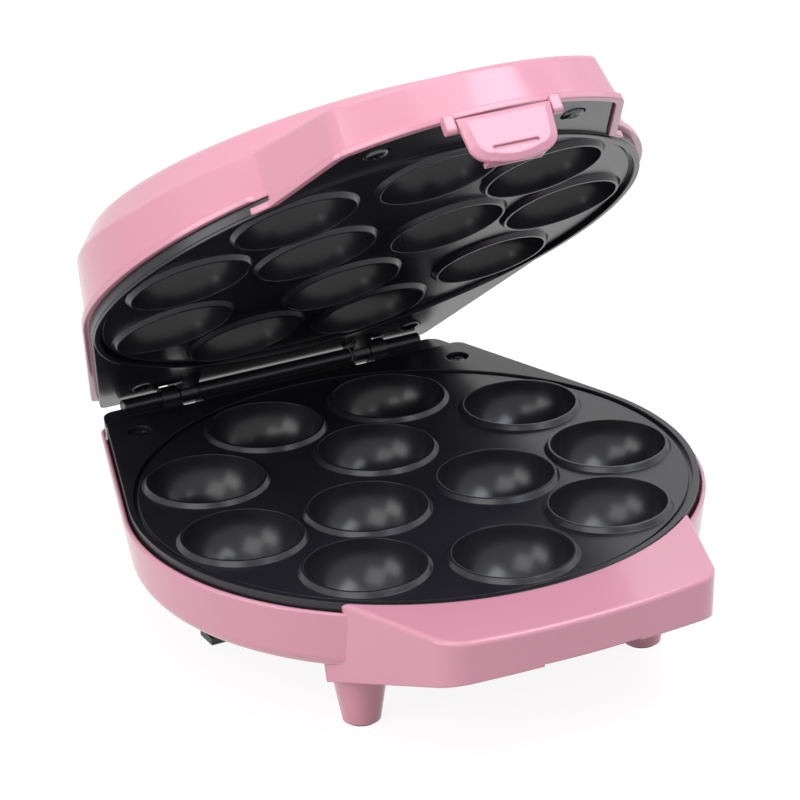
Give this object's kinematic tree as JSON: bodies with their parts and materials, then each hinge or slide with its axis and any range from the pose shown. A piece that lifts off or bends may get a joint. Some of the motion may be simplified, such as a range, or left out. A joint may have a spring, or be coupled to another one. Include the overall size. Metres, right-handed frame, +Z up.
{
  "type": "cake pop maker",
  "caption": "Round electric cake pop maker: two hinged non-stick plates with round cavities in a glossy housing with a front handle, a latch and four legs.",
  "frame": {"origin": "middle of the footprint of the part at rest, at table level", "axes": "+X right, +Y from the handle towards the hinge, +Z up"},
  "size_m": [0.1902, 0.242, 0.2021],
  "materials": {
    "pink_housing": "glossy moulded plastic",
    "nonstick_plate": "cast aluminium with a black non-stick coating, satin",
    "steel_fixings": "zinc plated steel",
    "element_tube": "steel tube, dull from heat",
    "shield_sheet": "bright rolled sheet",
    "thermostat_can": "drawn can",
    "fuse_sleeve": "woven glass sleeve, modelled plain",
    "terminal_plastic": "natural nylon",
    "black_rubber": "moulded",
    "foot_rubber": "moulded",
    "black_plastic": "moulded",
    "red_lens": "clear red moulding",
    "green_lens": "clear green moulding",
    "lamp_glass": "blown glass"
  },
  "bodies": {
    "base": {"base_shell": "pink_housing", "lower_plate": "nonstick_plate", "lower_plate_screws": "steel_fixings", "base_fixing_screws": "steel_fixings", "lower_heating_element": "element_tube", "lower_element_clamps": "steel_fixings", "lower_heat_shield": "shield_sheet", "lower_shield_screws": "steel_fixings", "base_thermostat": "thermostat_can", "thermal_fuse": "fuse_sleeve", "terminal_block": "terminal_plastic", "cord_bushing": "black_rubber", "foot_pads": "foot_rubber", "cord_cleats": "black_plastic", "hinge_pins": "steel_fixings"},
    "lid": {"lid_shell": "pink_housing", "upper_plate": "nonstick_plate", "upper_plate_screws": "steel_fixings", "upper_heating_element": "element_tube", "upper_element_clamps": "steel_fixings", "upper_heat_shield": "shield_sheet", "upper_shield_screws": "steel_fixings", "lid_thermostat": "thermostat_can", "power_light_lens": "red_lens", "ready_light_lens": "green_lens", "indicator_lamps": "lamp_glass", "latch_pin": "steel_fixings"},
    "latch": {"latch": "pink_housing"}
  },
  "joints": [
    {"name": "lid_hinge", "type": "hinge", "parent": "base", "child": "lid", "pos_m": [0, 0.10382, 0.04684], "axis": [-1, 0, 0], "range_deg": [-39.2, 52]},
    {"name": "latch_hinge", "type": "hinge", "parent": "lid", "child": "latch", "pos_m": [0, -0.07247, 0.18953], "axis": [-1, 0, 0], "range_deg": [0, 70]}
  ]
}
